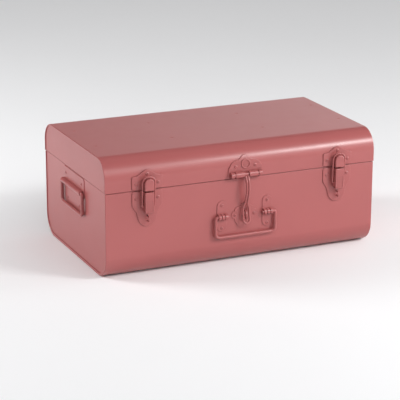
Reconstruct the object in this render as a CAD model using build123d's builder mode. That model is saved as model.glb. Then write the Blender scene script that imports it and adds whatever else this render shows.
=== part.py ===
from build123d import *
import math
import os

# Small rounded sheet-metal trunk with two draw latches, a hasp and three drop handles.
# Millimetres. X runs along the length, the front faces -Y, Z is up.
# The origin is the centre of the underside.

os.makedirs("parts", exist_ok=True)

# ---------------------------------------------------------------- driving dimensions
LENGTH = 500.0          # lid, rim to rim
DEPTH = 294.8           # lid, front to back
HEIGHT = 205.1          # floor to lid top
SHEET = 0.8             # body sheet
OVER_END = 0.7          # lid stands past the base at each end
OVER_SIDE = 0.55        # lid stands past the base at front and back
R_TOP = 35.1            # rounded long edges of the lid
R_BOT = 37.9            # rounded long edges of the base
BASE_TOP = 149.6        # upper edge of the base walls
LID_BOT = 150.8         # lower edge of the lid walls
RIM_DEEP = 1.5          # how far an end panel sits inside its rim
RIM_WIDE = 2.4          # folded rim, three sheets thick
RIM_FLOOR = 4.9         # height of the folded rim along the floor
RIM_FOLD = 1.1          # rounding of the fold
HEM_THICK, HEM_LOW = 1.7, 144.6     # turned-in hem along the mouth, front and back
LIP_LOW, LIP_STEP, LIP_HIGH = 140.2, 145.6, 158.0   # locating strip inside the mouth
LIP_IN = 1.3            # inward step of the strip's upper half

LB, DB = LENGTH - 2 * OVER_END, DEPTH - 2 * OVER_SIDE
Y_LID, Y_BASE = -DEPTH / 2, -DB / 2           # front planes
CY, CZ = Y_LID + R_TOP, HEIGHT - R_TOP         # centre line of the lid's front radius

PLATE = 1.8             # pressed hardware plates
PLATE_EDGE = 0.9        # their rounded outer edges
LATCH_MID, LATCH_X = 0.5, 176.4     # latch centres, this far either side of the middle one
HASP_X = 2.2            # hasp, staple and front handle centre

# rear hinge
HINGE_Y = DEPTH / 2 + 3.45
HINGE_Z = 150.2
LEAF = 1.4              # hinge leaves
KNUCKLE_R, HINGE_PIN_R = 3.2, 1.6
HINGE_X = 150.0
HINGE_LONG = 60.0

# draw latch
LEVER_W = 16.0          # width of the lever
HOOD_W = 17.0           # width of the keeper's hood
PIVOT_OUT, PIVOT_Z = 6.6, 143.0       # lever pivot, out from the base plate's face
LEVER_FRONT = 5.2       # front wall, out from the pivot
LEVER_WALL = 1.2
LEVER_TOP, LEVER_LOW = 148.5, 113.6
LEVER_STEP_Z, LEVER_STEP = 134.4, 0.4       # the lower part of the lever's face steps in
LOOP_R = 1.35           # wire of the loop
LOOP_HALF = 11.2        # centre line, half width
FOOT_Z, FOOT_OUT = 123.4, 5.4         # loop foot in the lever wall
HOOD_FRONT = Y_LID - 12.9
HOOD_Z = 163.0          # centre of its round top
ARC_Z, ARC_Y = 174.3, Y_BASE - 9.3
Y_PLATE = Y_BASE - PLATE              # face of the latch base plate
PIVOT_Y = Y_PLATE - PIVOT_OUT

# hasp
HASP_AX_Y, HASP_AX_Z = Y_LID - 5.2, 157.2
BARREL_R, BARREL_HALF = 5.2, 29.0
HASP_PIN_R, KNUCKLE_EYE = 1.7, 3.2
STRAND_R, STRAND_X, EYE_X = 1.85, 2.05, 5.7

# front handle
BAIL_R = 2.7
FH_HALF, FH_PLATE_X = 55.6, 42.2
FH_AX_Y, FH_AX_Z = Y_BASE - 5.2, 86.4
FH_LOW = 50.6

# side handles
SH_Y = 4.0              # centre, a little behind the middle
SH_R = 3.0
SH_HALF = 49.5
SH_AX_Z, SH_LOW = 122.8, 85.0
SH_PLATE = 1.0
X_PANEL = LB / 2 - RIM_DEEP           # outer face of a base end panel
SH_AX_OUT = 4.35                      # rod centre, out from the panel

# rivets
RIVET_R, RIVET_HEAD, RIVET_HIGH = 1.6, 2.9, 1.1


def keep(builder, name):
    builder.part.label = name
    export_step(builder.part, "parts/" + name + ".step")


def front_plane(x0, y0):
    """Sketch plane facing the front: local x is X, local y is Z."""
    return Plane(origin=(x0, y0, 0), x_dir=(1, 0, 0), z_dir=(0, -1, 0))


def rear_plane(x0, y0):
    return Plane(origin=(x0, y0, 0), x_dir=(-1, 0, 0), z_dir=(0, 1, 0))


def side_plane(x0, y0, z0):
    """Section plane: local x points out of the front, local y is up."""
    return Plane(origin=(x0, y0, z0), x_dir=(0, -1, 0), z_dir=(-1, 0, 0))


def end_plane(side, out, y0=0.0, z0=0.0):
    """Sketch plane facing out of an end, side -1 left or +1 right; local y is up."""
    return Plane(origin=(side * out, y0, z0), x_dir=(0, side, 0), z_dir=(side, 0, 0))


def lid_skin(x0, z0, off=0.0):
    """Plane lying on the lid's front, flat or rounded, at height z0, off outwards."""
    if z0 <= CZ:
        return Plane(origin=(x0, Y_LID - off, z0), x_dir=(1, 0, 0), z_dir=(0, -1, 0))
    s = (z0 - CZ) / R_TOP
    c = math.sqrt(1 - s * s)
    return Plane(origin=(x0, CY - (R_TOP + off) * c, CZ + (R_TOP + off) * s), x_dir=(1, 0, 0), z_dir=(0, -c, s))


# ---------------------------------------------------------------- rivet places
# each latch: keeper rivets on the lid, plate rivets on the base
KEEPER_TOP_RIVET = (0.0, 178.3)
KEEPER_RIVETS = [(-19.6, 162.0), (19.6, 162.0)]
LPLATE_RIVETS = [(-19.4, 136.2), (19.4, 136.2)]
HASP_RIVETS = [(-18.0, 171.0), (18.0, 171.0)]
STAPLE_RIVETS = [(-17.9, 85.6), (17.9, 85.6)]
FH_RIVETS = [(0.0, 105.8), (0.0, 65.6)]
SH_RIVETS = [(-38.2, 137.1), (38.2, 137.1), (-30.0, 95.2), (27.0, 95.2)]
HINGE_BASE_RIVETS = [(-20.0, 126.0), (20.0, 126.0), (0.0, 133.0)]
HINGE_LID_RIVETS = [(-20.0, 161.5), (20.0, 161.5), (0.0, 163.5)]

lid_front_places = [(LATCH_MID + s * LATCH_X + x, z) for s in (-1, 1) for x, z in KEEPER_RIVETS] + [(HASP_X + x, z) for x, z in HASP_RIVETS]
keeper_top_places = [(LATCH_MID + s * LATCH_X + KEEPER_TOP_RIVET[0], KEEPER_TOP_RIVET[1]) for s in (-1, 1)]
base_latch_places = [(LATCH_MID + s * LATCH_X + x, z) for s in (-1, 1) for x, z in LPLATE_RIVETS]
base_hasp_places = [(HASP_X + x, z) for x, z in STAPLE_RIVETS]
base_handle_places = [(HASP_X + s * FH_PLATE_X + x, z) for s in (-1, 1) for x, z in FH_RIVETS]
base_front_places = base_latch_places + base_hasp_places + base_handle_places
rear_base_places = [(s * HINGE_X + x, z) for s in (-1, 1) for x, z in HINGE_BASE_RIVETS]
rear_lid_places = [(s * HINGE_X + x, z) for s in (-1, 1) for x, z in HINGE_LID_RIVETS]

# ---------------------------------------------------------------- base shell
def u_profile(depth, top, inset, low=None):
    """Closed outline of the base section, inset by so much, top edge at z=top."""
    low = inset if low is None else low
    h, r = depth / 2 - inset, R_BOT - inset
    with BuildLine() as line:
        Line((-h, top), (-h, low + r))
        RadiusArc((-h, low + r), (-h + r, low), -r)
        Line((-h + r, low), (h - r, low))
        RadiusArc((h - r, low), (h, low + r), -r)
        Line((h, low + r), (h, top))
        Line((h, top), (-h, top))
    return line.line


def n_profile(depth, low, inset):
    """Closed outline of the lid section, inset by so much, bottom edge at z=low."""
    h, r = depth / 2 - inset, R_TOP - inset
    with BuildLine() as line:
        Line((-h, low), (-h, CZ))
        RadiusArc((-h, CZ), (-h + r, HEIGHT - inset), r)
        Line((-h + r, HEIGHT - inset), (h - r, HEIGHT - inset))
        RadiusArc((h - r, HEIGHT - inset), (h, CZ), r)
        Line((h, CZ), (h, low))
        Line((h, low), (-h, low))
    return line.line


with BuildPart() as base_wrap:
    # one sheet bent round front, floor and back
    with BuildSketch(Plane.YZ) as s:
        make_face(u_profile(DB, BASE_TOP, 0.0))
    extrude(amount=LB / 2, both=True)
    # the mouth of each end rim
    with BuildSketch(Plane.YZ) as s:
        make_face(u_profile(DB, BASE_TOP + 1, RIM_WIDE, RIM_FLOOR))
    extrude(amount=LB / 2 + 1, both=True, mode=Mode.SUBTRACT)
    with BuildSketch(Plane.YZ) as s:
        make_face(u_profile(DB, BASE_TOP + 1, SHEET))
    extrude(amount=LB / 2 - SHEET, both=True, mode=Mode.SUBTRACT)
    # the edge folded back over the end panel's flange
    for side in (-1, 1):
        with BuildSketch(end_plane(side, LB / 2 - SHEET)) as s:
            make_face(u_profile(DB, BASE_TOP, RIM_WIDE - SHEET))
            make_face(u_profile(DB, BASE_TOP + 1, RIM_WIDE, RIM_FLOOR), mode=Mode.SUBTRACT)
        extrude(amount=-(RIM_DEEP - SHEET - 0.05))
    # rounded fold along each rim
    rim = base_wrap.edges().filter_by(lambda e: abs(abs(e.center().X) - LB / 2) < 0.01 and e.length > 20)
    fillet(rim, RIM_FOLD)
    # turned-in hem along the front and back of the mouth, rounded on its outer edge
    hem_x = X_PANEL - SHEET - 0.1
    with BuildSketch(Plane.YZ.offset(-hem_x)):
        for y in (-1, 1):
            with Locations((y * (DB / 2 - HEM_THICK / 2), (HEM_LOW + BASE_TOP) / 2)):
                Rectangle(HEM_THICK, BASE_TOP - HEM_LOW)
    extrude(amount=2 * hem_x)
    lip = base_wrap.edges().filter_by(Axis.X).filter_by(lambda e: abs(e.center().Z - BASE_TOP) < 0.01 and abs(abs(e.center().Y) - DB / 2) < 0.01 and abs(e.center().X) < 1)
    fillet(lip, 0.78)
    with BuildSketch(front_plane(0, Y_BASE - 1)):
        with Locations(*base_front_places):
            Circle(RIVET_R + 0.05)
    extrude(amount=-3, mode=Mode.SUBTRACT)
    with BuildSketch(rear_plane(0, -Y_BASE + 1)):
        with Locations(*rear_base_places):
            Circle(RIVET_R + 0.05)
    extrude(amount=-3, mode=Mode.SUBTRACT)
keep(base_wrap, "base_wrap")

for side, name in ((-1, "base_left_end"), (1, "base_right_end")):
    with BuildPart() as end:
        # flat panel inside the rim, with a flange clamped in the folded edge
        with BuildSketch(end_plane(side, X_PANEL)):
            make_face(u_profile(DB, BASE_TOP, SHEET + 0.02))
        extrude(amount=-SHEET)
        with BuildSketch(end_plane(side, X_PANEL)):
            make_face(u_profile(DB, BASE_TOP, SHEET + 0.02))
            make_face(u_profile(DB, BASE_TOP + 1, RIM_WIDE - SHEET - 0.02), mode=Mode.SUBTRACT)
        extrude(amount=RIM_DEEP - SHEET - 0.05)
        with BuildSketch(end_plane(side, X_PANEL + 1)):
            with Locations(*[(side * SH_Y + x, z) for x, z in SH_RIVETS]):
                Circle(RIVET_R + 0.05)
        extrude(amount=-3, mode=Mode.SUBTRACT)
    keep(end, name)

with BuildPart() as base_lip:
    # locating strip round the inside of the mouth, standing up into the lid
    lx, ly = 2 * (X_PANEL - SHEET - 0.05), 2 * (DB / 2 - HEM_THICK - 0.05)
    ux, uy = lx - 2 * LIP_IN, ly - 2 * LIP_IN
    with BuildSketch(Plane.XY.offset(LIP_LOW)):
        RectangleRounded(lx, ly, 1.6)
    extrude(amount=LIP_STEP - LIP_LOW)
    with BuildSketch(Plane.XY.offset(LIP_STEP)):
        RectangleRounded(ux, uy, 1.6)
    extrude(amount=LIP_HIGH - LIP_STEP)
    with BuildSketch(Plane.XY.offset(LIP_LOW)):
        RectangleRounded(lx - 2 * SHEET, ly - 2 * SHEET, 0.8)
    extrude(amount=LIP_STEP - SHEET - LIP_LOW, mode=Mode.SUBTRACT)
    with BuildSketch(Plane.XY.offset(LIP_LOW)):
        RectangleRounded(ux - 2 * SHEET, uy - 2 * SHEET, 0.8)
    extrude(amount=LIP_HIGH - LIP_LOW, mode=Mode.SUBTRACT)
    fillet(base_lip.edges().group_by(Axis.Z)[-1], 0.3)
keep(base_lip, "base_lip")

# ---------------------------------------------------------------- lid shell
WELD_X = (-228.0, -90.0, 81.0, 231.0)
WELD_Y = (-51.0, 54.0)

with BuildPart() as lid_wrap:
    # one sheet bent over front, top and back
    with BuildSketch(Plane.YZ) as s:
        make_face(n_profile(DEPTH, LID_BOT, 0.0))
    extrude(amount=LENGTH / 2, both=True)
    with BuildSketch(Plane.YZ) as s:
        make_face(n_profile(DEPTH, LID_BOT - 1, SHEET))
    extrude(amount=LENGTH / 2 - SHEET, both=True, mode=Mode.SUBTRACT)
    with BuildSketch(Plane.YZ) as s:
        make_face(n_profile(DEPTH, LID_BOT - 1, RIM_WIDE))
    extrude(amount=LENGTH / 2 + 1, both=True, mode=Mode.SUBTRACT)
    for side in (-1, 1):
        with BuildSketch(end_plane(side, LENGTH / 2 - SHEET)) as s:
            make_face(n_profile(DEPTH, LID_BOT, RIM_WIDE - SHEET))
            make_face(n_profile(DEPTH, LID_BOT - 1, RIM_WIDE), mode=Mode.SUBTRACT)
        extrude(amount=-(RIM_DEEP - SHEET - 0.05))
    rim = lid_wrap.edges().filter_by(lambda e: abs(abs(e.center().X) - LENGTH / 2) < 0.01 and e.length > 20)
    fillet(rim, RIM_FOLD)
    # shallow spot-weld dents above the two stiffeners
    with Locations(*[(x, y, HEIGHT + 13.0 - 0.5) for x in WELD_X for y in WELD_Y]):
        Sphere(13.0, mode=Mode.SUBTRACT)
    for x, z in lid_front_places:
        with BuildSketch(lid_skin(x, z, 1)):
            Circle(RIVET_R + 0.05)
        extrude(amount=-3, mode=Mode.SUBTRACT)
    with BuildSketch(front_plane(0, Y_LID - 1)):
        with Locations(*keeper_top_places):
            Circle(RIVET_R + 0.05)
    extrude(amount=-5, mode=Mode.SUBTRACT)
    with BuildSketch(rear_plane(0, -Y_LID + 1)):
        with Locations(*rear_lid_places):
            Circle(RIVET_R + 0.05)
    extrude(amount=-3, mode=Mode.SUBTRACT)
keep(lid_wrap, "lid_wrap")

for side, name in ((-1, "lid_left_end"), (1, "lid_right_end")):
    with BuildPart() as end:
        with BuildSketch(end_plane(side, LENGTH / 2 - RIM_DEEP)):
            make_face(n_profile(DEPTH, LID_BOT, SHEET + 0.02))
        extrude(amount=-SHEET)
        with BuildSketch(end_plane(side, LENGTH / 2 - RIM_DEEP)):
            make_face(n_profile(DEPTH, LID_BOT, SHEET + 0.02))
            make_face(n_profile(DEPTH, LID_BOT - 1, RIM_WIDE - SHEET - 0.02), mode=Mode.SUBTRACT)
        extrude(amount=RIM_DEEP - SHEET - 0.05)
    keep(end, name)

for y, name in ((WELD_Y[0], "lid_front_stiffener"), (WELD_Y[1], "lid_rear_stiffener")):
    with BuildPart() as bar:
        # shallow channel, web against the inside of the lid
        with BuildSketch(Plane.YZ):
            with Locations((y, HEIGHT - SHEET - 0.02 - 3.5)):
                Rectangle(20, 7)
            with Locations((y, HEIGHT - SHEET - 0.02 - 3.5 - SHEET)):
                Rectangle(20 - 2 * SHEET, 7, mode=Mode.SUBTRACT)
        extrude(amount=240, both=True)
    keep(bar, name)

# ---------------------------------------------------------------- rear hinges
knuckle_ends = [-HINGE_LONG / 2 + i * HINGE_LONG / 5 for i in range(6)]

with BuildPart() as hinge_base_leaves:
    for s in (-1, 1):
        with BuildSketch(rear_plane(s * HINGE_X, DB / 2)):
            with Locations((0, (HINGE_Z - 3.7 + 118) / 2)):
                RectangleRounded(HINGE_LONG, HINGE_Z - 3.7 - 118, 3)
            with Locations(*HINGE_BASE_RIVETS):
                Circle(RIVET_R + 0.05, mode=Mode.SUBTRACT)
        extrude(amount=LEAF)
        for i in (0, 2, 4):
            x0 = s * HINGE_X + knuckle_ends[i] + (0.0 if i == 0 else 0.2)
            x1 = s * HINGE_X + knuckle_ends[i + 1] - (0.0 if i == 4 else 0.2)
            with BuildSketch(Plane.YZ.offset(x0)):
                with Locations((HINGE_Y, HINGE_Z)):
                    Circle(KNUCKLE_R)
                with Locations(((DB / 2 + HINGE_Y) / 2, HINGE_Z - KNUCKLE_R + 0.6)):
                    Rectangle(HINGE_Y - DB / 2, 1.2)
                with Locations((DB / 2 + LEAF / 2, HINGE_Z - 4.0)):
                    Rectangle(LEAF, 4.0)
                with Locations((HINGE_Y, HINGE_Z)):
                    Circle(HINGE_PIN_R + 0.05, mode=Mode.SUBTRACT)
            extrude(amount=x1 - x0)
keep(hinge_base_leaves, "hinge_base_leaves")

with BuildPart() as hinge_lid_leaves:
    for s in (-1, 1):
        with BuildSketch(rear_plane(s * HINGE_X, DEPTH / 2)):
            with Locations((0, (HINGE_Z + 3.7 + 169) / 2)):
                RectangleRounded(HINGE_LONG, 169 - HINGE_Z - 3.7, 3)
            with Locations(*HINGE_LID_RIVETS):
                Circle(RIVET_R + 0.05, mode=Mode.SUBTRACT)
        extrude(amount=LEAF)
        for i in (1, 3):
            x0 = s * HINGE_X + knuckle_ends[i] + 0.2
            x1 = s * HINGE_X + knuckle_ends[i + 1] - 0.2
            with BuildSketch(Plane.YZ.offset(x0)):
                with Locations((HINGE_Y, HINGE_Z)):
                    Circle(KNUCKLE_R)
                with Locations(((DEPTH / 2 + HINGE_Y) / 2, HINGE_Z + KNUCKLE_R - 0.6)):
                    Rectangle(HINGE_Y - DEPTH / 2, 1.2)
                with Locations((DEPTH / 2 + LEAF / 2, HINGE_Z + 4.0)):
                    Rectangle(LEAF, 4.0)
                with Locations((HINGE_Y, HINGE_Z)):
                    Circle(HINGE_PIN_R + 0.05, mode=Mode.SUBTRACT)
            extrude(amount=x1 - x0)
keep(hinge_lid_leaves, "hinge_lid_leaves")

with BuildPart() as hinge_pins:
    for s in (-1, 1):
        with BuildSketch(Plane.YZ.offset(s * HINGE_X - HINGE_LONG / 2 - 0.2)):
            with Locations((HINGE_Y, HINGE_Z)):
                Circle(HINGE_PIN_R)
        extrude(amount=HINGE_LONG + 0.4)
        for x0, up in ((s * HINGE_X - HINGE_LONG / 2 - 0.2, -1), (s * HINGE_X + HINGE_LONG / 2 + 0.2, 1)):
            with BuildSketch(Plane.YZ.offset(x0)):
                with Locations((HINGE_Y, HINGE_Z)):
                    Circle(2.4)
            extrude(amount=up * 1.0)
keep(hinge_pins, "hinge_pins")


# ---------------------------------------------------------------- plates that follow the lid's front
def lid_band(x0, inner, outer, half):
    """Solid between two offsets of the lid's front skin, within half of x0."""
    with BuildPart() as band:
        with BuildSketch(Plane.YZ.offset(x0 - half)):
            with Locations((Y_LID - (inner + outer) / 2, (LID_BOT + CZ) / 2)):
                Rectangle(outer - inner, CZ - LID_BOT)
            with BuildLine():
                a, b = R_TOP + outer, R_TOP + inner
                Line((CY - b, CZ), (CY - a, CZ))
                RadiusArc((CY - a, CZ), (CY, CZ + a), a)
                Line((CY, CZ + a), (CY, CZ + b))
                RadiusArc((CY, CZ + b), (CY - b, CZ), -b)
            make_face()
        extrude(amount=2 * half)
    return band.part


def mirrored_outline(points, first, last, tail):
    """Right half spline through points, then straight runs in tail, mirrored about x=0."""
    with BuildLine() as line:
        Spline(*points, tangents=(first, last))
        Polyline(points[-1], *tail)
        mirror(about=Plane.YZ)
    return line.line


def lid_out(p):
    """How far a point stands out from the lid's front skin."""
    if p.Z <= CZ:
        return Y_LID - p.Y
    return math.hypot(p.Y - CY, p.Z - CZ) - R_TOP


def outer_edges(builder, test):
    """Edges that pass the test and aren't a smooth seam between two faces at the bend."""
    return builder.edges().filter_by(test).filter_by(lambda e: not (e.geom_type == GeomType.LINE and abs(e.center().Z - CZ) < 0.01 and e.length > 20))


keeper_pts = [(0, 185.9), (6.5, 182.9), (14.5, 177.8), (20.5, 175.2), (25.6, 174.6)]
keeper_tail = [(27.1, 173.4), (27.1, 153.8), (25.0, 151.7), (0, 151.7)]

for s, side in ((-1, "left"), (1, "right")):
    x0 = LATCH_MID + s * LATCH_X
    with BuildPart() as keeper:
        # flat shield-shaped plate; its top stands clear of the lid's rounding
        with BuildSketch(front_plane(x0, Y_LID)):
            make_face(mirrored_outline(keeper_pts, (1, -0.15), (1, -0.1), keeper_tail))
        extrude(amount=PLATE)
        fillet(keeper.faces().sort_by(Axis.Y)[0].outer_wire().edges(), PLATE_EDGE)
        # pressed hood that the wire loop goes round
        with BuildSketch(front_plane(x0, HOOD_FRONT)):
            with Locations((0, (151.7 + HOOD_Z) / 2)):
                Rectangle(HOOD_W, HOOD_Z - 151.7)
            with Locations((0, HOOD_Z)):
                Circle(HOOD_W / 2)
        extrude(amount=-(Y_LID - 0.5 - HOOD_FRONT))
        hood = keeper.faces().filter_by(Axis.Y).sort_by(Axis.Y)[0]
        fillet(hood.edges().filter_by(lambda e: e.center().Z > 153), 1.7)
        with BuildSketch(front_plane(x0, HOOD_FRONT + 1.4)):
            with Locations((0, (150.0 + HOOD_Z) / 2)):
                Rectangle(HOOD_W - 2.8, HOOD_Z - 150.0)
            with Locations((0, HOOD_Z)):
                Circle(HOOD_W / 2 - 1.4)
        extrude(amount=-30, mode=Mode.SUBTRACT)
        for x, z in KEEPER_RIVETS + [KEEPER_TOP_RIVET]:
            with BuildSketch(front_plane(x0, Y_LID - 3)):
                with Locations((x, z)):
                    Circle(RIVET_R + 0.05)
            extrude(amount=-6, mode=Mode.SUBTRACT)
    keep(keeper, side + "_latch_keeper")

    with BuildPart() as plate:
        with BuildSketch(front_plane(x0, Y_BASE)):
            with BuildLine():
                Spline((26.8, 127.5), (23.2, 118.9), (18.8, 111.0), (16.9, 103.4), (13.6, 94.9), (7.6, 89.3), (0, 87.6), tangents=((0, -1), (-1, 0)))
                Polyline((26.8, 127.5), (26.8, 146.4), (24.6, 148.6), (0, 148.6))
                mirror(about=Plane.YZ)
            make_face()
            with Locations(*LPLATE_RIVETS):
                Circle(RIVET_R + 0.05, mode=Mode.SUBTRACT)
        extrude(amount=PLATE)
        front = plate.faces().sort_by(Axis.Y)[0]
        fillet(front.outer_wire().edges(), PLATE_EDGE)
    keep(plate, side + "_latch_plate")

    with BuildPart() as bracket:
        # two lugs on a foot, inside the lever, that carry its pin
        with BuildSketch(side_plane(x0 - 5.6, Y_PLATE, 0)):
            with BuildLine():
                Polyline((0, 132.0), (1.2, 132.0), (PIVOT_OUT - 1.5, PIVOT_Z - 2.3), (PIVOT_OUT, PIVOT_Z - 2.3), (PIVOT_OUT, PIVOT_Z + 2.3), (0, PIVOT_Z + 2.3), (0, 132.0))
            make_face()
            with Locations((PIVOT_OUT, PIVOT_Z)):
                Circle(2.5)
        extrude(amount=-11.2)
        with BuildSketch(side_plane(x0 - 4.2, Y_PLATE, 0)):
            with Locations(((1.2 + 20) / 2, 141)):
                Rectangle(20 - 1.2, 40)
        extrude(amount=-8.4, mode=Mode.SUBTRACT)
        with BuildSketch(side_plane(x0 - 10, Y_PLATE, 0)):
            with Locations((PIVOT_OUT, PIVOT_Z)):
                Circle(1.25)
        extrude(amount=-20, mode=Mode.SUBTRACT)
    keep(bracket, side + "_latch_bracket")

    with BuildPart() as pin:
        with BuildSketch(side_plane(x0 - 8.1, Y_PLATE, 0)):
            with Locations((PIVOT_OUT, PIVOT_Z)):
                Circle(1.2)
        extrude(amount=-16.2)
        for xx, up in ((x0 - 8.1, 1), (x0 + 8.1, -1)):
            with BuildSketch(side_plane(xx, Y_PLATE, 0)):
                with Locations((PIVOT_OUT, PIVOT_Z)):
                    Circle(1.9)
            extrude(amount=up * 0.6)
    keep(pin, side + "_latch_pin")

    with BuildPart() as staple:
        # wire staple that comes out through the lever's tail
        path_pts = [(x0, Y_PLATE, 97.6), (x0, Y_PLATE - 8.2, 97.6), (x0, Y_PLATE - 8.2, 105.6), (x0, Y_PLATE, 105.6)]
        with BuildLine():
            FilletPolyline(*path_pts, radius=3.2)
        with BuildSketch(Plane(origin=path_pts[0], x_dir=(1, 0, 0), z_dir=(0, -1, 0))):
            Circle(1.15)
        sweep()
    keep(staple, side + "_latch_staple")

    with BuildPart() as lever:
        # channel-shaped lever, open at the back, with a bent tail for the staple
        fr, bk = PIVOT_OUT + LEVER_FRONT, 0.8
        with BuildSketch(side_plane(x0 - LEVER_W / 2, Y_PLATE, 0)):
            with BuildLine():
                up = LEVER_TOP - PIVOT_Z
                Line((bk, LEVER_LOW + 2), (bk, PIVOT_Z))
                ThreePointArc((bk, PIVOT_Z), (PIVOT_OUT - 5.65 * math.sqrt(0.5), PIVOT_Z + 5.65 * math.sqrt(0.5)), (PIVOT_OUT, PIVOT_Z + up))
                Polyline((PIVOT_OUT, PIVOT_Z + up), (fr, LEVER_TOP), (fr, LEVER_LOW), (fr - 5, LEVER_LOW), (bk, LEVER_LOW + 2))
            make_face()
        extrude(amount=-LEVER_W)
        outer = lever.edges().filter_by(lambda e: abs(e.center().Y - (Y_PLATE - fr)) < 0.01 and e.center().Z > LEVER_LOW + 1)
        fillet(outer, 1.1)
        # the lower part of the face steps in a little
        with BuildSketch(front_plane(x0, Y_PLATE - fr + LEVER_STEP)):
            with Locations((0, (LEVER_LOW + 0.6 + LEVER_STEP_Z) / 2)):
                Rectangle(LEVER_W - 4.4, LEVER_STEP_Z - LEVER_LOW - 0.6)
        extrude(amount=2, mode=Mode.SUBTRACT)
        with BuildSketch(front_plane(x0, Y_PLATE - fr + LEVER_WALL)):
            with Locations((0, (LEVER_LOW - 5 + LEVER_TOP + 5) / 2)):
                Rectangle(LEVER_W - 2 * LEVER_WALL, LEVER_TOP - LEVER_LOW + 10)
        extrude(amount=-20, mode=Mode.SUBTRACT)
        # tail: steps in, runs down past the staple and turns out at the tip
        with BuildSketch(side_plane(x0 - 5.4, Y_PLATE, 0)):
            with BuildLine():
                Polyline((fr, LEVER_LOW + 1.5), (fr, LEVER_LOW), (5.0, LEVER_LOW - 3.6), (5.0, 94.4), (8.6, 90.6), (7.5, 89.8), (3.7, 93.8), (3.7, LEVER_LOW - 4.6), (fr - 1.3, LEVER_LOW - 0.6), (fr - 1.3, LEVER_LOW + 1.5), (fr, LEVER_LOW + 1.5))
            make_face()
        extrude(amount=-10.8)
        with BuildSketch(front_plane(x0, Y_PLATE)):
            with Locations((0, 101.6)):
                SlotCenterToCenter(9.0, 5.0, rotation=90)
        extrude(amount=6.2, mode=Mode.SUBTRACT)
        # pin hole and the holes for the loop's feet
        with BuildSketch(side_plane(x0 - 20, Y_PLATE, 0)):
            with Locations((PIVOT_OUT, PIVOT_Z)):
                Circle(1.26)
            with Locations((FOOT_OUT, FOOT_Z)):
                Circle(LOOP_R + 0.06)
        extrude(amount=-40, mode=Mode.SUBTRACT)
    keep(lever, side + "_latch_lever")

    with BuildPart() as loop:
        # one wire: in through the lever wall, up, over the hood, down and in again
        foot = (Y_PLATE - FOOT_OUT, FOOT_Z)
        top = (ARC_Y, ARC_Z)
        pts = [
            (x0 - 6.6, foot[0], foot[1]),
            (x0 - LOOP_HALF, foot[0], foot[1]),
            (x0 - LOOP_HALF, top[0], top[1]),
            (x0 + LOOP_HALF, top[0], top[1]),
            (x0 + LOOP_HALF, foot[0], foot[1]),
            (x0 + 6.6, foot[0], foot[1]),
        ]
        with BuildLine():
            FilletPolyline(*pts, radius=[2.0, LOOP_HALF - 0.4, LOOP_HALF - 0.4, 2.0])
        with BuildSketch(Plane(origin=pts[0], x_dir=(0, 1, 0), z_dir=(-1, 0, 0))):
            Circle(LOOP_R)
        sweep()
    keep(loop, side + "_latch_loop")

# ---------------------------------------------------------------- hasp
with BuildPart() as hasp_plate:
    hasp_pts = [(0, 189.6), (4.2, 188.0), (8.4, 184.8), (11.4, 182.6), (15.0, 181.6), (20.0, 180.4), (25.6, 176.8), (29.6, 170.8), (31.2, 163.5)]
    with BuildSketch(front_plane(HASP_X, Y_LID + 20)):
        make_face(mirrored_outline(hasp_pts, (1, -0.2), (0, -1), [(31.2, 154.0), (29.2, 151.9), (0, 151.9)]))
    extrude(amount=60)
    add(lid_band(HASP_X, 0.0, PLATE, 40), mode=Mode.INTERSECT)
    fillet(outer_edges(hasp_plate, lambda e: lid_out(e.center()) > PLATE - 0.05 and e.center().Z > 152.5), PLATE_EDGE)
    # lower edge rolled into a barrel with a groove near each end
    with BuildSketch(side_plane(HASP_X - BARREL_HALF, 0, 0)):
        with Locations((-HASP_AX_Y, HASP_AX_Z)):
            Circle(BARREL_R)
    extrude(amount=-2 * BARREL_HALF)
    fillet(hasp_plate.edges().filter_by(GeomType.CIRCLE).filter_by(lambda e: abs(abs(e.center().X - HASP_X) - BARREL_HALF) < 0.01 and abs(e.radius - BARREL_R) < 0.01), 0.9)
    for x in (-22.4, 20.4):
        with BuildSketch(side_plane(HASP_X + x, 0, 0)):
            with Locations((-HASP_AX_Y, HASP_AX_Z)):
                Circle(BARREL_R + 1)
                Circle(BARREL_R - 1.1, mode=Mode.SUBTRACT)
            with Locations((-Y_LID + PLATE / 2 - 10, HASP_AX_Z)):
                Rectangle(PLATE + 20, 30, mode=Mode.SUBTRACT)
        extrude(amount=-2.0, mode=Mode.SUBTRACT)
    with BuildSketch(front_plane(HASP_X, Y_LID - 30)):
        with Locations((0, HASP_AX_Z)):
            Rectangle(8.8, 2 * BARREL_R + 4)
    extrude(amount=-(30 - PLATE), mode=Mode.SUBTRACT)
    with BuildSketch(side_plane(HASP_X - 40, 0, 0)):
        with Locations((-HASP_AX_Y, HASP_AX_Z)):
            Circle(HASP_PIN_R + 0.04)
    extrude(amount=-80, mode=Mode.SUBTRACT)
    for x, z in HASP_RIVETS:
        with BuildSketch(lid_skin(HASP_X + x, z, 3)):
            Circle(RIVET_R + 0.05)
        extrude(amount=-6, mode=Mode.SUBTRACT)
with BuildPart() as hasp_ring:
    # raised ring pressed into the middle of the plate
    with BuildSketch(front_plane(HASP_X, Y_LID + 20)):
        with Locations((0.6, 174.6)):
            Circle(8.8)
            Circle(6.2, mode=Mode.SUBTRACT)
    extrude(amount=60)
    add(lid_band(HASP_X, PLATE - 0.4, PLATE + 1.2, 40), mode=Mode.INTERSECT)
    fillet(outer_edges(hasp_ring, lambda e: lid_out(e.center()) > PLATE + 1.1), 0.8)
with BuildPart() as hasp_whole:
    add(hasp_plate.part)
    add(hasp_ring.part)
keep(hasp_whole, "hasp_plate")

with BuildPart() as hasp_pin:
    with BuildSketch(side_plane(HASP_X - BARREL_HALF + 0.6, 0, 0)):
        with Locations((-HASP_AX_Y, HASP_AX_Z)):
            Circle(HASP_PIN_R)
    extrude(amount=-2 * (BARREL_HALF - 0.6))
keep(hasp_pin, "hasp_pin")

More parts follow.
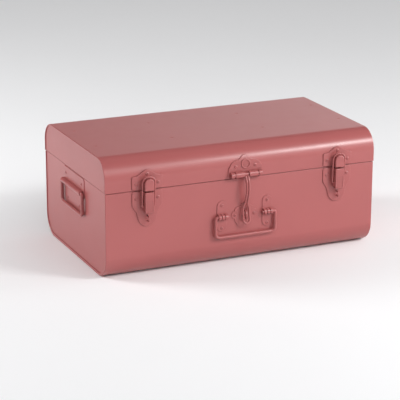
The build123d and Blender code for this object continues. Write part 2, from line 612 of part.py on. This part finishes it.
with BuildPart() as hasp_strap:
    # one rod bent double: a bowed shank of two strands that open into a long eye
    side = [
        (STRAND_X, HASP_AX_Y - 2.4, 155.0),
        (STRAND_X, Y_BASE - 13.2, 144.0),
        (STRAND_X, Y_BASE - 14.6, 128.0),
        (STRAND_X, Y_BASE - 7.0, 108.0),
        (EYE_X, Y_BASE - 5.4, 97.0),
        (EYE_X, Y_BASE - 9.6, 71.6),
    ]
    pts = [(HASP_X - x, y, z) for x, y, z in side] + [(HASP_X + x, y, z) for x, y, z in reversed(side)]
    with BuildLine() as strand:
        FilletPolyline(*pts, radius=[12, 30, 8, 6, EYE_X - 0.05, EYE_X - 0.05, 6, 8, 30, 12])
    d0 = Vector(*pts[1]) - Vector(*pts[0])
    with BuildSketch(Plane(origin=pts[0], x_dir=(1, 0, 0), z_dir=d0.normalized())):
        Circle(STRAND_R)
    sweep()
    # knuckle round the pin
    with BuildSketch(side_plane(HASP_X - 3.9, 0, 0)):
        with Locations((-HASP_AX_Y, HASP_AX_Z)):
            Circle(KNUCKLE_EYE)
    extrude(amount=-7.8)
    with BuildSketch(side_plane(HASP_X - 8, 0, 0)):
        with Locations((-HASP_AX_Y, HASP_AX_Z)):
            Circle(HASP_PIN_R + 0.08)
    extrude(amount=-16, mode=Mode.SUBTRACT)
keep(hasp_strap, "hasp_strap")

with BuildPart() as staple_plate:
    with BuildSketch(front_plane(HASP_X, Y_BASE)):
        with BuildLine():
            Spline((0, 108.0), (4.2, 104.6), (10.6, 101.0), (16.4, 99.2), tangents=((0.7, -1), (1, 0)))
            ThreePointArc((16.4, 99.2), (18.2, 96.2), (18.6, 92.6))
            ThreePointArc((18.6, 92.6), (24.6, 86.2), (18.6, 79.8))
            ThreePointArc((18.6, 79.8), (18.2, 76.2), (16.4, 73.2))
            Spline((16.4, 73.2), (12.6, 67.2), (7.0, 63.4), (0, 62.0), tangents=((-0.5, -1), (-1, 0)))
            mirror(about=Plane.YZ)
        make_face()
        with Locations(*STAPLE_RIVETS):
            Circle(RIVET_R + 0.05, mode=Mode.SUBTRACT)
    extrude(amount=1.2)
keep(staple_plate, "hasp_staple_plate")

with BuildPart() as hasp_staple:
    # half-round staple standing in the eye of the strap
    with BuildSketch(side_plane(HASP_X - 1.6, Y_BASE - 1.2, 0)):
        with Locations((0.8, 86.0)):
            Circle(8.0)
            Circle(4.9, mode=Mode.SUBTRACT)
        with Locations((-6.0, 86.0)):
            Rectangle(12, 20, mode=Mode.SUBTRACT)
    extrude(amount=-3.2)
    fillet(hasp_staple.edges().filter_by(GeomType.CIRCLE), 0.9)
keep(hasp_staple, "hasp_staple")

# ---------------------------------------------------------------- front drop handle
with BuildPart() as fh_plates:
    for s in (-1, 1):
        cx = HASP_X + s * FH_PLATE_X
        with BuildSketch(front_plane(cx, Y_BASE)):
            with Locations((0, 86.9)):
                SlotOverall(54.4, 18.4, rotation=90)
            with Locations(*FH_RIVETS):
                Circle(RIVET_R + 0.05, mode=Mode.SUBTRACT)
        extrude(amount=1.2)
    fillet(fh_plates.faces().filter_by(Axis.Y).group_by(Axis.Y)[0].edges().filter_by(lambda e: e.length > 15), 0.5)
    for s in (-1, 1):
        cx = HASP_X + s * FH_PLATE_X
        # three raised straps on each plate, pressed over the rod
        for dx in (-6.0, 0.0, 6.0):
            with BuildSketch(side_plane(cx + dx - 2.3, 0, 0)):
                with Locations((-FH_AX_Y, FH_AX_Z)):
                    Circle(BAIL_R + 1.9)
                with Locations((-Y_BASE + 1.7, FH_AX_Z)):
                    Rectangle(3.0, 2 * BAIL_R + 5.0)
                with Locations((-FH_AX_Y, FH_AX_Z)):
                    Circle(BAIL_R + 0.08, mode=Mode.SUBTRACT)
            extrude(amount=-4.6)
    with BuildSketch(side_plane(-200, 0, 0)):
        with Locations((-FH_AX_Y, FH_AX_Z)):
            Circle(BAIL_R + 0.08)
    extrude(amount=-400, mode=Mode.SUBTRACT)
keep(fh_plates, "front_handle_plates")

with BuildPart() as fh_bail:
    pts = [
        (HASP_X - 31.0, FH_AX_Y, FH_AX_Z),
        (HASP_X - FH_HALF, FH_AX_Y, FH_AX_Z),
        (HASP_X - FH_HALF, FH_AX_Y, FH_LOW),
        (HASP_X + FH_HALF, FH_AX_Y, FH_LOW),
        (HASP_X + FH_HALF, FH_AX_Y, FH_AX_Z),
        (HASP_X + 31.0, FH_AX_Y, FH_AX_Z),
    ]
    with BuildLine():
        FilletPolyline(*pts, radius=[3.0, 7.0, 7.0, 3.0])
    with BuildSketch(Plane(origin=pts[0], x_dir=(0, 1, 0), z_dir=(-1, 0, 0))):
        Circle(BAIL_R)
    sweep()
keep(fh_bail, "front_handle_bail")

# ---------------------------------------------------------------- side drop handles
for side, name in ((-1, "left"), (1, "right")):
    with BuildPart() as plate:
        with BuildSketch(end_plane(side, X_PANEL + 0.02, SH_Y)):
            with Locations((0, 130.7)):
                RectangleRounded(101, 35.6, 5.5)
            with Locations((0, 103.2)):
                RectangleRounded(76, 39.0, 6.0)
            with Locations(*SH_RIVETS):
                Circle(RIVET_R + 0.05, mode=Mode.SUBTRACT)
        extrude(amount=SH_PLATE)
        face = plate.faces().filter_by(Axis.X).sort_by(Axis.X)[0 if side < 0 else -1]
        fillet(face.outer_wire().edges(), 0.4)
        # half-pipe pressed outwards over the rod
        pipe_in, pipe_out = SH_R + 0.12, SH_R + 1.3
        with BuildSketch(Plane(origin=(side * (X_PANEL + SH_AX_OUT), SH_Y - 46, SH_AX_Z), x_dir=(1, 0, 0), z_dir=(0, 1, 0))):
            Circle(pipe_out)
            with Locations((-side * (SH_AX_OUT - SH_PLATE) / 2 - side * 0.3, 0)):
                Rectangle(SH_AX_OUT - SH_PLATE + 1.0, 2 * pipe_out)
            Circle(pipe_in, mode=Mode.SUBTRACT)
            with Locations((-side * SH_AX_OUT / 2, 0)):
                Rectangle(SH_AX_OUT, 2 * pipe_in, mode=Mode.SUBTRACT)
            with Locations((-side * (SH_AX_OUT + 1.5 - 0.02), 0)):
                Rectangle(3.0, 30, mode=Mode.SUBTRACT)
        extrude(amount=92)
        # the rod's bore through it
        with BuildSketch(Plane(origin=(side * (X_PANEL + SH_AX_OUT), SH_Y - 60, SH_AX_Z), x_dir=(1, 0, 0), z_dir=(0, 1, 0))):
            Circle(pipe_in)
        extrude(amount=120, mode=Mode.SUBTRACT)
    keep(plate, name + "_handle_plate")

    with BuildPart() as bail:
        ax = side * (X_PANEL + SH_AX_OUT)
        pts = [
            (ax, SH_Y - 2.0, SH_AX_Z),
            (ax, SH_Y - SH_HALF, SH_AX_Z),
            (ax, SH_Y - SH_HALF, SH_LOW),
            (ax, SH_Y + SH_HALF, SH_LOW),
            (ax, SH_Y + SH_HALF, SH_AX_Z),
            (ax, SH_Y + 2.0, SH_AX_Z),
        ]
        with BuildLine():
            FilletPolyline(*pts, radius=[3.2, 6.0, 6.0, 3.2])
        with BuildSketch(Plane(origin=pts[0], x_dir=(1, 0, 0), z_dir=(0, -1, 0))):
            Circle(SH_R)
        sweep()
    keep(bail, name + "_handle_bail")


# ---------------------------------------------------------------- rivets
def rivet(stack):
    """Blind rivet: low domed head with a hollow middle, shank, and tail inside the sheet."""
    with BuildPart() as one:
        with BuildSketch(Plane.XZ):
            with BuildLine():
                Line((0.0, RIVET_HIGH - 0.75), (0.85, RIVET_HIGH - 0.6))
                Line((0.85, RIVET_HIGH - 0.6), (1.0, RIVET_HIGH))
                ThreePointArc((1.0, RIVET_HIGH), (2.25, RIVET_HIGH - 0.32), (RIVET_HEAD, 0.25))
                Line((RIVET_HEAD, 0.25), (RIVET_HEAD, 0.0))
                Line((RIVET_HEAD, 0.0), (RIVET_R, 0.0))
                Line((RIVET_R, 0.0), (RIVET_R, -stack))
                Line((RIVET_R, -stack), (2.35, -stack))
                Line((2.35, -stack), (2.0, -stack - 0.9))
                Line((2.0, -stack - 0.9), (0.0, -stack - 0.9))
                Line((0.0, -stack - 0.9), (0.0, RIVET_HIGH - 0.75))
            make_face()
        revolve(axis=Axis.Z)
    return one.part


def rivet_group(name, planes, stack, more=(), more_stack=0.0):
    with BuildPart() as group:
        for places, deep in ((planes, stack), (more, more_stack)):
            if places:
                one = rivet(deep)
            for plane in places:
                with Locations(plane.location):
                    add(one)
    keep(group, name)


def at(plane, x, z):
    return Plane(origin=plane.from_local_coords((x, z, 0)), x_dir=plane.x_dir, z_dir=plane.z_dir)


gap = 0.03
rivet_group("lid_front_rivets", [lid_skin(x, z, PLATE + gap) for x, z in lid_front_places], PLATE + SHEET + 0.25,
            [at(front_plane(0, Y_LID - PLATE - gap), x, z) for x, z in keeper_top_places], PLATE + 2.65)
rivet_group("latch_plate_rivets", [at(front_plane(0, Y_BASE - PLATE - gap), x, z) for x, z in base_latch_places], PLATE + SHEET + 2 * gap)
rivet_group("staple_plate_rivets", [at(front_plane(0, Y_BASE - 1.2 - gap), x, z) for x, z in base_hasp_places], 1.2 + SHEET + 2 * gap)
rivet_group("front_handle_rivets", [at(front_plane(0, Y_BASE - 1.2 - gap), x, z) for x, z in base_handle_places], 1.2 + SHEET + 2 * gap)
rivet_group("side_handle_rivets", [at(end_plane(s, X_PANEL + SH_PLATE + 0.02 + gap, SH_Y), x, z) for s in (-1, 1) for x, z in SH_RIVETS], SH_PLATE + 0.02 + SHEET + 2 * gap)
rivet_group("hinge_base_rivets", [at(rear_plane(0, DB / 2 + LEAF + gap), x, z) for x, z in rear_base_places], LEAF + SHEET + 2 * gap)
rivet_group("hinge_lid_rivets", [at(rear_plane(0, DEPTH / 2 + LEAF + gap), x, z) for x, z in rear_lid_places], LEAF + SHEET + 2 * gap)
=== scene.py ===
import bpy
import math
from mathutils import Matrix, Vector

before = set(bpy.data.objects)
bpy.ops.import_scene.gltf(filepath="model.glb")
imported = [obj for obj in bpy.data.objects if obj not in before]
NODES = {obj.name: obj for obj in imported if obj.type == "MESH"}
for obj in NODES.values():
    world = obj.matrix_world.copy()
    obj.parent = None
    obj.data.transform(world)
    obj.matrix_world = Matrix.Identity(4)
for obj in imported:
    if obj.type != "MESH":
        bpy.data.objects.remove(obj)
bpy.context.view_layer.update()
scene = bpy.context.scene


# ------------------------------------------------------------------ materials
def new_material(name):
    mat = bpy.data.materials.new(name)
    mat.use_nodes = True
    nt = mat.node_tree
    nt.nodes.clear()
    out = nt.nodes.new("ShaderNodeOutputMaterial")
    bsdf = nt.nodes.new("ShaderNodeBsdfPrincipled")
    nt.links.new(bsdf.outputs["BSDF"], out.inputs["Surface"])
    return mat, nt, bsdf


def painted(name, base, rough=0.30, scale=1.0, peel=0.05, tint=0.035, spec=0.5):
    """Satin powder coat: faint mottling, orange peel, a little variation in gloss."""
    mat, nt, bsdf = new_material(name)
    N, L = nt.nodes, nt.links
    geo = N.new("ShaderNodeNewGeometry")
    # broad mottling of the colour
    n1 = N.new("ShaderNodeTexNoise"); n1.inputs["Scale"].default_value = 9.0 * scale; n1.inputs["Detail"].default_value = 4.0
    n1.inputs["Roughness"].default_value = 0.55
    L.new(geo.outputs["Position"], n1.inputs["Vector"])
    ramp = N.new("ShaderNodeValToRGB")
    dark = [c * (1 - tint) for c in base]; light = [min(1.0, c * (1 + tint)) for c in base]
    ramp.color_ramp.elements[0].position = 0.32; ramp.color_ramp.elements[0].color = (*dark, 1)
    ramp.color_ramp.elements[1].position = 0.68; ramp.color_ramp.elements[1].color = (*light, 1)
    L.new(n1.outputs["Fac"], ramp.inputs["Fac"])
    # painted shade in concave corners and painted highlight on convex edges, driven by pointiness
    corner_shade_edge_highlight_ramp = N.new("ShaderNodeValToRGB")
    corner_shade_edge_highlight_ramp.color_ramp.elements[0].position = 0.44; corner_shade_edge_highlight_ramp.color_ramp.elements[0].color = (*[c * 0.86 for c in base], 1)
    corner_shade_edge_highlight_ramp.color_ramp.elements[1].position = 0.58; corner_shade_edge_highlight_ramp.color_ramp.elements[1].color = (*[min(1, c * 1.14 + 0.008) for c in base], 1)
    mid = corner_shade_edge_highlight_ramp.color_ramp.elements.new(0.5); mid.color = (*base, 1)
    L.new(geo.outputs["Pointiness"], corner_shade_edge_highlight_ramp.inputs["Fac"])
    # blends the mottled colour with the painted corner shade and painted edge highlight
    mix = N.new("ShaderNodeMix"); mix.data_type = "RGBA"; mix.inputs["Factor"].default_value = 0.4
    L.new(ramp.outputs["Color"], mix.inputs["A"]); L.new(corner_shade_edge_highlight_ramp.outputs["Color"], mix.inputs["B"])
    L.new(mix.outputs["Result"], bsdf.inputs["Base Color"])
    # gloss
    n2 = N.new("ShaderNodeTexNoise"); n2.inputs["Scale"].default_value = 38.0 * scale; n2.inputs["Detail"].default_value = 5.0
    L.new(geo.outputs["Position"], n2.inputs["Vector"])
    mr = N.new("ShaderNodeMapRange")
    mr.inputs["To Min"].default_value = rough - 0.03; mr.inputs["To Max"].default_value = rough + 0.035
    L.new(n2.outputs["Fac"], mr.inputs["Value"]); L.new(mr.outputs["Result"], bsdf.inputs["Roughness"])
    # orange peel
    n3 = N.new("ShaderNodeTexNoise"); n3.inputs["Scale"].default_value = 900.0 * scale; n3.inputs["Detail"].default_value = 2.0
    L.new(geo.outputs["Position"], n3.inputs["Vector"])
    bump = N.new("ShaderNodeBump"); bump.inputs["Strength"].default_value = peel; bump.inputs["Distance"].default_value = 0.0004
    L.new(n3.outputs["Fac"], bump.inputs["Height"]); L.new(bump.outputs["Normal"], bsdf.inputs["Normal"])
    bsdf.inputs["Specular IOR Level"].default_value = spec
    bsdf.inputs["IOR"].default_value = 1.5
    return mat


PAINT = (0.361, 0.095, 0.093)
body_mat = painted("body_paint", PAINT)
hard_mat = painted("hardware_paint", tuple(c * 0.99 for c in PAINT), rough=0.30, scale=2.0, peel=0.06)
rivet_mat = painted("rivet_paint", tuple(c * 0.97 for c in PAINT), rough=0.31, scale=3.0, peel=0.06)
pin_mat = painted("pin_paint", tuple(c * 0.9 for c in PAINT), rough=0.36, scale=3.0, peel=0.08)
BODY = {"base_wrap", "base_left_end", "base_right_end", "base_lip", "lid_wrap", "lid_left_end", "lid_right_end", "lid_front_stiffener", "lid_rear_stiffener"}
for name, obj in NODES.items():
    mat = body_mat if name in BODY else rivet_mat if "rivets" in name else pin_mat if ("pin" in name or "bracket" in name) else hard_mat
    obj.data.materials.clear()
    obj.data.materials.append(mat)


# ------------------------------------------------------------------ floor
def floor_material():
    mat, nt, bsdf = new_material("studio_floor")
    N, L = nt.nodes, nt.links
    geo = N.new("ShaderNodeNewGeometry")
    n = N.new("ShaderNodeTexNoise"); n.inputs["Scale"].default_value = 2.5; n.inputs["Detail"].default_value = 3.0
    L.new(geo.outputs["Position"], n.inputs["Vector"])
    ramp = N.new("ShaderNodeValToRGB")
    ramp.color_ramp.elements[0].color = (0.855, 0.855, 0.865, 1); ramp.color_ramp.elements[1].color = (0.875, 0.875, 0.885, 1)
    L.new(n.outputs["Fac"], ramp.inputs["Fac"]); L.new(ramp.outputs["Color"], bsdf.inputs["Base Color"])
    bsdf.inputs["Roughness"].default_value = 0.85
    bsdf.inputs["Specular IOR Level"].default_value = 0.2
    return mat


me = bpy.data.meshes.new("floor")
me.from_pydata([(-9, -9, 0), (9, -9, 0), (9, 9, 0), (-9, 9, 0)], [], [(0, 1, 2, 3)])
floor = bpy.data.objects.new("floor", me)
scene.collection.objects.link(floor)
floor.data.materials.append(floor_material())

# ------------------------------------------------------------------ soft studio surround
LOW = {"right": 4.225, "back": 0.048}                 # near the horizon
MID = {"front": 2.627, "left": 0.042, "right": 0.08}  # half way up
ZENITH = 0.273
world = bpy.data.worlds.new("studio")
scene.world = world
world.use_nodes = True
wt = world.node_tree
wt.nodes.clear()
WN, WL = wt.nodes, wt.links
w_out = WN.new("ShaderNodeOutputWorld")
w_bg = WN.new("ShaderNodeBackground")
WL.new(w_bg.outputs[0], w_out.inputs[0])
w_tc = WN.new("ShaderNodeTexCoord")
w_sep = WN.new("ShaderNodeSeparateXYZ")
WL.new(w_tc.outputs["Generated"], w_sep.inputs[0])


def calc(op, a, b=None):
    n = WN.new("ShaderNodeMath")
    n.operation = op
    for i, v in enumerate((a, b)):
        if v is None:
            continue
        if isinstance(v, (int, float)):
            n.inputs[i].default_value = v
        else:
            WL.new(v, n.inputs[i])
    return n.outputs[0]


def fade(v, a, b, lo, hi):
    n = WN.new("ShaderNodeMapRange")
    n.interpolation_type = "SMOOTHSTEP"
    n.clamp = True
    WL.new(v, n.inputs["Value"])
    n.inputs["From Min"].default_value = a
    n.inputs["From Max"].default_value = b
    n.inputs["To Min"].default_value = lo
    n.inputs["To Max"].default_value = hi
    return n.outputs[0]


wx, wy, wz = w_sep.outputs
x2, y2 = calc("MULTIPLY", wx, wx), calc("MULTIPLY", wy, wy)
h2 = calc("ADD", calc("ADD", x2, y2), 1e-6)
cx, cy = calc("DIVIDE", x2, h2), calc("DIVIDE", y2, h2)
px, py = calc("GREATER_THAN", wx, 0.0), calc("GREATER_THAN", wy, 0.0)
side = {"right": calc("MULTIPLY", cx, px), "left": calc("MULTIPLY", cx, calc("SUBTRACT", 1.0, px)),
        "back": calc("MULTIPLY", cy, py), "front": calc("MULTIPLY", cy, calc("SUBTRACT", 1.0, py))}
low = fade(wz, 0.30, 0.42, 1.0, 0.0)
zen = fade(wz, 0.65, 0.85, 0.0, 1.0)
mid_band = calc("SUBTRACT", calc("SUBTRACT", 1.0, low), zen)
total = calc("MULTIPLY", zen, ZENITH)
for band, table in ((low, LOW), (mid_band, MID)):
    for k, v in table.items():
        total = calc("ADD", total, calc("MULTIPLY", calc("MULTIPLY", side[k], band), v))
WL.new(total, w_bg.inputs["Color"])
w_bg.inputs["Strength"].default_value = 1.0


def area(name, loc, target, size, power, size_y):
    data = bpy.data.lights.new(name, "AREA")
    data.energy = power
    data.shape = "RECTANGLE"
    data.size = size
    data.size_y = size_y
    o = bpy.data.objects.new(name, data)
    scene.collection.objects.link(o)
    o.location = loc
    d = Vector(target) - Vector(loc)
    o.rotation_euler = d.to_track_quat("-Z", "Y").to_euler()
    return o


area("key", (1.10, -1.33, 1.27), (0.1, -0.1, 0.12), 0.5, 30 * 0.587, 0.30)
area("left", (-1.9, 0.9, 1.0), (-0.2, 0, 0.12), 0.8, 30 * 1.092, 0.8)
area("right", (2.0, -0.3, 0.8), (0.1, 0, 0.12), 0.7, 30 * 0.248, 0.7)

# ------------------------------------------------------------------ camera
AZ, EL, ROLL, DIST, FPX, TX, TY, HMID = -24.1623, 17.3710, 0.19675, 3.025667, 1715.985, -0.0131587, -0.0323093, 0.10215
a, e, r = math.radians(AZ), math.radians(EL), math.radians(ROLL)
back = Vector((math.sin(a) * math.cos(e), -math.cos(a) * math.cos(e), math.sin(e)))
right = Vector((math.cos(a), math.sin(a), 0))
up = back.cross(right)
R = right * math.cos(r) + up * math.sin(r)
U = -right * math.sin(r) + up * math.cos(r)
pos = Vector((0, 0, HMID)) + back * DIST + R * TX + U * TY
cam_data = bpy.data.cameras.new("camera")
cam_data.sensor_width = 36.0
cam_data.lens = FPX / 400.0 * 36.0
cam_data.clip_start = 0.05
cam_data.clip_end = 60
cam = bpy.data.objects.new("camera", cam_data)
scene.collection.objects.link(cam)
cam.matrix_world = Matrix((
    (R.x, U.x, back.x, pos.x),
    (R.y, U.y, back.y, pos.y),
    (R.z, U.z, back.z, pos.z),
    (0, 0, 0, 1)))
scene.camera = cam
scene.view_settings.view_transform = "Standard"

bpy.context.view_layer.update()
